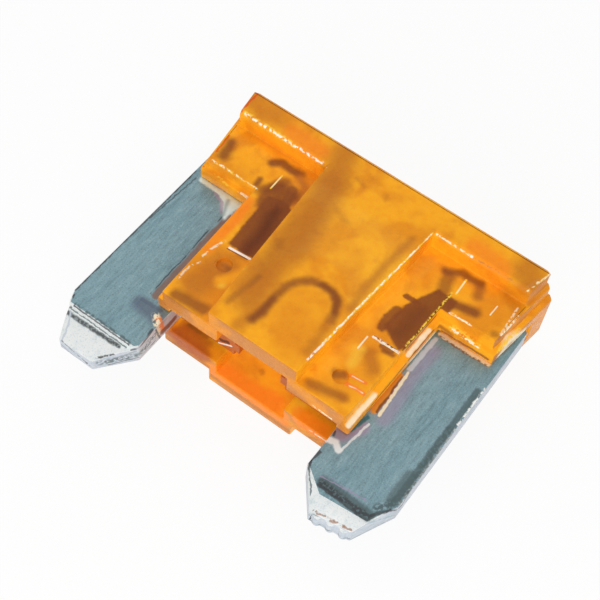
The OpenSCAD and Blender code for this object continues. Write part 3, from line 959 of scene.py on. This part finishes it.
# Marks round the blade tips and along their sides, mostly painted shade along the edges and painted
# highlights
TIP_MARKS = raised(BLADE_Z, (
    rough(Tint.SOOT, 0.03, 0.85, (-5.29, -3.47, 2.3), (-5.14, -3.77, 2.19)),
    rough(Tint.SOOT, 0.025, 0.85, (-5.06, -3.73, 2.28), (-3.07, -3.73, 2.27)),
    glint(Tint.SLATE, 0.05, 0.8, (-5.03, -3.68), (-4.17, -3.66), (-3.08, -3.68)),
    rough(Tint.ICE, 0.03, 0.9, (-5.05, -3.89, 2.17), (-4.89, -4.15, 2.13), (-4.72, -4.65, 1.95)),
    glint(Tint.SOOT, 0.03, 0.8, (-4.72, -4.65, 1.95), (-4.27, -4.65, 1.78), (-3.87, -4.65, 1.7)),
    rough(Tint.SLATE, 0.02, 0.5, (-4.76, -4.65, 1.69), (-4.3, -4.65, 1.51)),
    glint(Tint.SOOT, 0.03, 0.9, (-3.88, -4.65, 1.64), (-3.56, -4.47, 2.03), (-3.26, -4.15, 2.13)),
    rough(Tint.SLATE, 0.04, 0.35, (-3.74, -4.65, 1.63), (-3.34, -4.25, 1.85), (-2.91, -3.72, 2.04),
        (-2.83, -3.14, 2.1)),
    rough(Tint.SOOT, 0.05, 0.75, (-2.94, -3.76, 2.17), (-2.83, -3.39, 2.22), (-2.87, -2.99, 2.3)),
    glint(Tint.SLATE, 0.12, 0.8, (-3.51, -4.47, 1.8), (-3.08, -3.93, 1.8), (-2.83, -3.37, 1.86),
        (-2.83, -2.85, 1.98)),
    rough(Tint.SLATE, 0.02, 0.8, (-3.38, -4.31, 1.6), (-2.87, -3.67, 1.67), (-2.83, -2.95, 1.67)),
    # Painted shade on the left blade below the housing's foot
    row(Tint.DUSK, 0.24, 0.16, 0.75, (-3.67, -2.56), (-3.24, -2.55), (-3.03, -2.63)),
    rough(Tint.DUSK, 0.06, 0.6, (-3.73, -2.4), (-3.07, -2.37)),
    rough(Tint.ORANGE, 0.09, 0.85, (-2.99, -2.6, 2.3), (-2.83, -2.7, 2.28), (-2.83, -2.59, 1.86)),
    glint(Tint.CREAM, 0.1, 1.0, (-3.07, -2.58, 2.3), (-2.89, -2.76, 2.3), (-2.83, -2.77, 1.82)),
    rough(Tint.SLATE, 0.03, 0.8, (-2.97, -2.75, 2.3), (-2.83, -2.88, 2.19), (-2.83, -2.74, 1.55)),
    rough(Tint.SOOT, 0.04, 0.85, (2.57, -2.28, 0.96), (2.9, -3.44, 2.3), (2.99, -3.65, 2.3)),
    rough(Tint.SLATE, 0.025, 0.85, (2.99, -3.65, 2.3), (3.37, -4.07, 2.17), (3.68, -4.54, 1.86)),
    rough(Tint.SLATE, 0.03, 0.6, (3.73, -4.53, 1.57), (4.33, -4.49, 1.65), (4.85, -4.36, 1.64)),
    rough(Tint.SLATE, 0.16, 0.6, (3.51, -3.7, 2.29), (4.22, -3.75, 2.28), (4.95, -3.76, 2.27)),
    glint(Tint.SOOT, 0.1, 0.8, (3.5, -3.78, 2.28), (4.26, -3.81, 2.27), (4.98, -3.8, 2.26)),
    rough(Tint.SOOT, 0.05, 0.8, (5.03, -3.7, 2.27), (5.34, -3.33, 2.3), (5.45, -2.86, 1.95),
        (5.44, -2.6, 2.3)),
    glint(Tint.SLATE, 0.12, 0.9, (5.05, -3.46), (5.38, -2.92), (5.36, -1.58), (5.31, -0.44)),
    rough(Tint.LILAC, 0.02, 0.7, (3.35, -3.65), (4.68, -3.47)),
    glint(Tint.PALE, 0.05, 0.9, (5.12, -3.8, 2.14), (5.44, -3.14, 1.79)),
    rough(Tint.SLATE, 0.02, 0.5, (4.9, -4.28, 1.56), (5.32, -3.39, 1.62)),
    # Painted shade above the three bumps on the right tip
    rough(Tint.SMUDGE, 0.03, 0.7, (3.87, -4.48, 2.09), (4.07, -4.41, 2.13)),
    rough(Tint.SMUDGE, 0.03, 0.7, (4.25, -4.43, 2.11), (4.42, -4.37, 2.13)),
    rough(Tint.SMUDGE, 0.03, 0.7, (4.61, -4.36, 2.12), (4.82, -4.31, 2.13)),
    rough(Tint.SOOT, 0.025, 0.6, (-5.2, 1.81), (-5.33, -0.15)),
    # Painted shade on the left blade's inner side beside the tongue's foot
    rough(Tint.BROWN, 0.13, 0.85, (-2.83, -2.6, 1.75), (-2.83, -2.34, 1.73), (-2.83, -2.11, 1.77)),
))

# Marks on the coined bevels: dark lines of painted shade along their steps
COIN_MARKS = (
    glint(Tint.SMUDGE, 0.035, 0.9, (3.75, -4.44, 2.08), (4.8, -4.3, 2.1)),
    rough(Tint.SLATE, 0.07, 0.75, (-5.2, -3.96, 2.17), (-3.3, -3.9, 2.17)),
    glint(Tint.SOOT, 0.05, 0.8, (-5.2, -3.96, 2.17), (-3.3, -3.9, 2.17)),
    rough(Tint.SLATE, 0.02, 0.8, (-5.2, -3.8, 2.17), (-3.1, -3.8, 2.17)),
)

# The bit of link seen in the mouth: a dark notch of painted shade with a painted highlight under it
INNER_MARKS = (
    rough(Tint.UMBER, 0.07, 1.0, (-1.36, -1.85, 1.82), (-1.11, -1.85, 1.96)),
    shine(Tint.WHITE, 0.03, 1.0, (-1.43, -1.85, 1.58), (-0.98, -1.85, 1.88)),
)


def shell_of(source: Piece, name: str) -> Piece:
    """Copies a frame node as one welded mesh with flat faces joined.

    Args:
        source: The node's object.
        name: Name of the new piece.

    Returns:
        The new piece, active and selected.
    """
    bpy.ops.object.select_all(action="DESELECT")
    made = source.copy()
    made.data = source.data.copy()
    made.name = name
    made.data.name = name
    made.parent = None
    for key in list(made.keys()):
        del made[key]
    bpy.context.scene.collection.objects.link(made)
    made.select_set(True)
    bpy.context.view_layer.objects.active = made
    made.data.materials.clear()
    bpy.ops.object.mode_set(mode="EDIT")
    bpy.ops.mesh.select_all(action="SELECT")
    bpy.ops.mesh.remove_doubles(threshold=WELD_GAP)
    bpy.ops.mesh.customdata_custom_splitnormals_clear()
    bpy.ops.mesh.dissolve_limited(angle_limit=FLAT_ANGLE)
    bpy.ops.mesh.normals_make_consistent(inside=False)
    bpy.ops.mesh.select_all(action="DESELECT")
    bpy.ops.object.mode_set(mode="OBJECT")
    return made


@dataclass
class Housing:
    """The one-piece moulded housing."""

    node: str = "housing"
    name: str = "moulded_housing"
    edge_round: float = 0.05 * MM
    foot_y: float = -2.26 * MM
    end_x: float = 4.95 * MM
    top_z: float = 3.7
    side_x: float = 1.4 * MM
    steep: float = 0.8
    skin: AmberPlastic = AmberPlastic()
    # A tan copy of the amber for the end faces, painted for how the light falls on faces turned sideways
    cut: AmberPlastic = AmberPlastic(base=Tint.TAN, cloud=Tint.HONEY)

    def build(self, frame: dict) -> Piece:
        """Builds and dresses the piece.


        Returns:
            The piece.
        """
        made = shell_of(frame["nodes"][self.node], self.name)
        round_edges(made, self.edge_round)
        self.dress(made)
        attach(made, Body.ROOT.value)
        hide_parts(self.node)
        return made

    def dress(self, made: Piece) -> None:
        """Gives each face the material of its region, with the marks that reach it.

        Args:
            made: The piece.
        """
        names = ("top", "left", "right", "middle", "cut", "ends")
        boxes: dict[str, list[Box]] = {name: [] for name in names}
        for face in made.data.polygons:
            low, high = corners_of([made.data.vertices[k].co / MM for k in face.vertices])
            real = (low.copy(), high.copy())
            depths = sorted((abs(low.z - MID_Z), abs(high.z - MID_Z)))
            low.z = MID_Z + (0.0 if low.z < MID_Z < high.z else depths[0])
            high.z = MID_Z + depths[1]
            name = self.region(face, low)
            face.material_index = names.index(name)
            boxes[name] += [(low, high), real]
        paints = SHADES + SEEN_METAL + LINK + MOUTH + EDGES + GLINTS + ENDS
        for name in names:
            # End faces take the tan copy of the amber, painted for how the light falls on them
            finish = self.cut if name in ("cut", "ends") else self.skin
            made.data.materials.append(finish.build(f"amber_{name}", near(paints, boxes[name])))

    def region(self, face: bpy.types.MeshPolygon, low: Vector) -> str:
        """Names the region of a face.

        Args:
            face: The face.
            low: Low corner of its box in millimetres, folded to the upper half.

        Returns:
            The region's name.
        """
        if face.center.y < self.foot_y and face.normal.y < -self.steep:
            return "cut"
        if abs(face.center.x) > self.end_x and abs(face.normal.x) > self.steep:
            return "ends"
        if low.z > self.top_z:
            return "top"
        if abs(face.center.x) < self.side_x:
            return "middle"
        return "right" if face.center.x > 0.0 else "left"


@dataclass
class FuseElement:
    """The one-piece stamped element with its two blades and the link."""

    node: str = "fuse_element"
    name: str = "stamped_element"
    edge_round: float = 0.03 * MM
    tip_y: float = -3.3 * MM
    land_y: float = -3.8 * MM
    inner_x: float = 2.3 * MM
    sloped: Pair = (0.3, 0.985)
    level: float = 0.9
    upright: float = 0.75
    rolled: RolledZinc = RolledZinc()
    # Lit and shaded copies of the zinc: the tip bevels and the blades' sides painted near white as lit,
    # and the metal in the mouth painted amber-brown as in the housing's shade
    coined: RolledZinc = RolledZinc(base=Tint.FROST, dark=Tint.PALE, light=Tint.WHITE, metallic=0.2,
                                    streaks=(5.0, 3.0, 5.0))
    sheared_lit: RolledZinc = RolledZinc(base=Tint.ICE, dark=Tint.PALE, light=Tint.FROST, metallic=0.3,
                                     streaks=(4.0, 3.0, 9.0), contrast=0.6)
    inner: RolledZinc = RolledZinc(base=Tint.RUST, dark=Tint.SMUDGE, light=Tint.ORANGE, metallic=0.1)

    def build(self, frame: dict) -> Piece:
        """Builds and dresses the piece.


        Returns:
            The piece.
        """
        made = shell_of(frame["nodes"][self.node], self.name)
        round_edges(made, self.edge_round)
        finishes = {"rolled": (self.rolled, BLADE_MARKS + TIP_MARKS),
                    "coined": (self.coined, COIN_MARKS + TIP_MARKS),
                    "sheared_lit": (self.sheared_lit, TIP_MARKS), "inner": (self.inner, INNER_MARKS)}
        names = list(finishes)
        boxes: dict[str, list[Box]] = {name: [] for name in names}
        for face in made.data.polygons:
            name = self.region(face)
            face.material_index = names.index(name)
            boxes[name].append(corners_of([made.data.vertices[k].co / MM for k in face.vertices]))
        for name, (finish, paints) in finishes.items():
            made.data.materials.append(finish.build(f"zinc_{name}", near(paints, boxes[name])))
        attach(made, Body.ROOT.value)
        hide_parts(self.node)
        return made

    def region(self, face: bpy.types.MeshPolygon) -> str:
        """Names the finish of a face: the rolled zinc, a lit copy for the bevels at the tips and the
        blades' sides, or a shaded copy inside the housing.

        Args:
            face: The face.

        Returns:
            The finish's name.
        """
        if abs(face.center.x) < self.inner_x:
            return "inner"
        if face.center.y < self.tip_y and self.sloped[0] < face.normal.z < self.sloped[1]:
            return "coined"
        if face.center.y < self.land_y and face.center.x < 0.0 and face.normal.z > self.level:
            return "coined"
        return "sheared_lit" if abs(face.normal.z) < self.upright else "rolled"


def round_edges(piece: Piece, width: float) -> None:
    """Rounds the sharp edges of a piece.

    Args:
        piece: The piece, active and selected.
        width: Width of the round in metres.
    """
    bevel = piece.modifiers.new("edge_round", "BEVEL")
    bevel.width = width
    bevel.segments = BEVEL_STEPS
    bevel.limit_method = "ANGLE"
    bevel.angle_limit = BEVEL_ANGLE
    bevel.use_clamp_overlap = False
    bpy.ops.object.modifier_apply(modifier=bevel.name)
    bpy.ops.object.shade_smooth_by_angle(angle=SMOOTH_ANGLE)
    flat = piece.modifiers.new("flat_faces", "WEIGHTED_NORMAL")
    flat.weight = FLAT_WEIGHT
    flat.keep_sharp = True
    bpy.ops.object.modifier_apply(modifier=flat.name)


def seen_directly(canvas: Canvas) -> Socket:
    """Whether the camera sees something straight, in a reflection or through plastic.

    Args:
        canvas: The canvas of the floor or the world.

    Returns:
        The mask socket.
    """
    path = canvas.node("ShaderNodeLightPath")
    seen = canvas.math("MAXIMUM", path.outputs["Is Camera Ray"], path.outputs["Is Glossy Ray"])
    return canvas.math("MAXIMUM", seen, path.outputs["Is Transmission Ray"])


@dataclass(frozen=True)
class Lamp:
    """A square lamp turned to the middle of the part."""

    name: str
    place: Point
    power: float
    size: float = 0.05

    def build(self) -> None:
        """Builds the lamp."""
        data = bpy.data.lights.new(self.name, "AREA")
        data.size = self.size
        data.energy = self.power
        made = bpy.data.objects.new(self.name, data)
        made.location = self.place
        made.visible_glossy = False
        made.rotation_euler = (-Vector(self.place)).to_track_quat("-Z", "Y").to_euler()
        bpy.context.scene.collection.objects.link(made)


@dataclass
class Studio:
    """White surroundings, soft lamps and the camera of the photograph."""

    floor_size: float = 0.6
    floor_white: Rgb = (0.9, 0.9, 0.9)
    floor_dull: float = 0.9
    floor_glow: float = 1.03
    floor_share: float = 0.88
    world_light: float = 0.45
    lamps: tuple[Lamp, ...] = (Lamp("key", (-0.03, 0.02, 0.06), 0.005),
                               Lamp("front", (0.026, -0.06, 0.0375), 0.027))
    azimuth: float = math.radians(-58.80)
    elevation: float = math.radians(58.44)
    roll: float = math.radians(6.23)
    distance: float = 36.549 * MM
    target: Point = (-0.376 * MM, 0.538 * MM, 1.9 * MM)
    lens: float = 76.907
    sensor: float = 36.0
    clip: Pair = (0.001, 2.0)

    def build(self) -> None:
        """Builds the floor, the world, the lamps and the camera."""
        self.floor()
        self.world()
        for lamp in self.lamps:
            lamp.build()
        self.camera()

    def floor(self) -> None:
        """A white floor that keeps a soft shadow."""
        bpy.ops.object.select_all(action="DESELECT")
        bpy.ops.mesh.primitive_plane_add(size=self.floor_size, location=(0.0, 0.0, 0.0))
        made = bpy.context.active_object
        made.name = "studio_floor"
        material, canvas, shader = new_material("white_floor")
        canvas.fill(shader, Base_Color=self.floor_white, Roughness=self.floor_dull)
        output = next(n for n in material.node_tree.nodes if n.type == "OUTPUT_MATERIAL")
        glow = canvas.node("ShaderNodeEmission", Strength=self.floor_glow)
        both = canvas.node("ShaderNodeMixShader")
        canvas.feed(both.inputs[0], canvas.math("MULTIPLY", seen_directly(canvas), self.floor_share))
        canvas.feed(both.inputs[1], shader.outputs[0])
        canvas.feed(both.inputs[2], glow.outputs[0])
        canvas.feed(output.inputs["Surface"], both.outputs[0])
        made.data.materials.append(material)

    def world(self) -> None:
        """A white world, seen at full strength and lighting at a plain level."""
        world = bpy.data.worlds.new("studio_world")
        bpy.context.scene.world = world
        world.use_nodes = True
        canvas = Canvas(world.node_tree)
        background = next(n for n in world.node_tree.nodes if n.type == "BACKGROUND")
        strength = canvas.math("MULTIPLY_ADD", seen_directly(canvas), 1.0 - self.world_light,
                               self.world_light)
        canvas.fill(background, Color=(1.0, 1.0, 1.0), Strength=strength)

    def camera(self) -> None:
        """Sets the camera at the photograph's viewing angle."""
        toward = Vector((math.cos(self.elevation) * math.cos(self.azimuth),
                         math.cos(self.elevation) * math.sin(self.azimuth), math.sin(self.elevation)))
        right = (-toward).cross(Vector((0, 0, 1))).normalized()
        upward = right.cross(-toward)
        across = right * math.cos(self.roll) + upward * math.sin(self.roll)
        above = -right * math.sin(self.roll) + upward * math.cos(self.roll)
        turn = Matrix((across, above, toward)).transposed()
        data = bpy.data.cameras.new("view")
        data.lens = self.lens
        data.sensor_width = self.sensor
        data.clip_start, data.clip_end = self.clip
        camera = bpy.data.objects.new("view", data)
        spot = Vector(self.target) + toward * self.distance
        camera.matrix_world = Matrix.Translation(spot) @ turn.to_4x4()
        bpy.context.scene.collection.objects.link(camera)
        bpy.context.scene.camera = camera


def main() -> None:
    """Builds the pieces in order and hands them to the frame."""
    logging.basicConfig(level=logging.INFO, format="%(name)s: %(message)s")
    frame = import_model()
    for part in (FuseElement(), Housing()):
        made = part.build(frame)
        LOG.info("%s: %d faces", made.name, len(made.data.polygons))
    Studio().build()
    bpy.context.scene.view_settings.view_transform = "Standard"


if __name__ == "__main__":
    main()
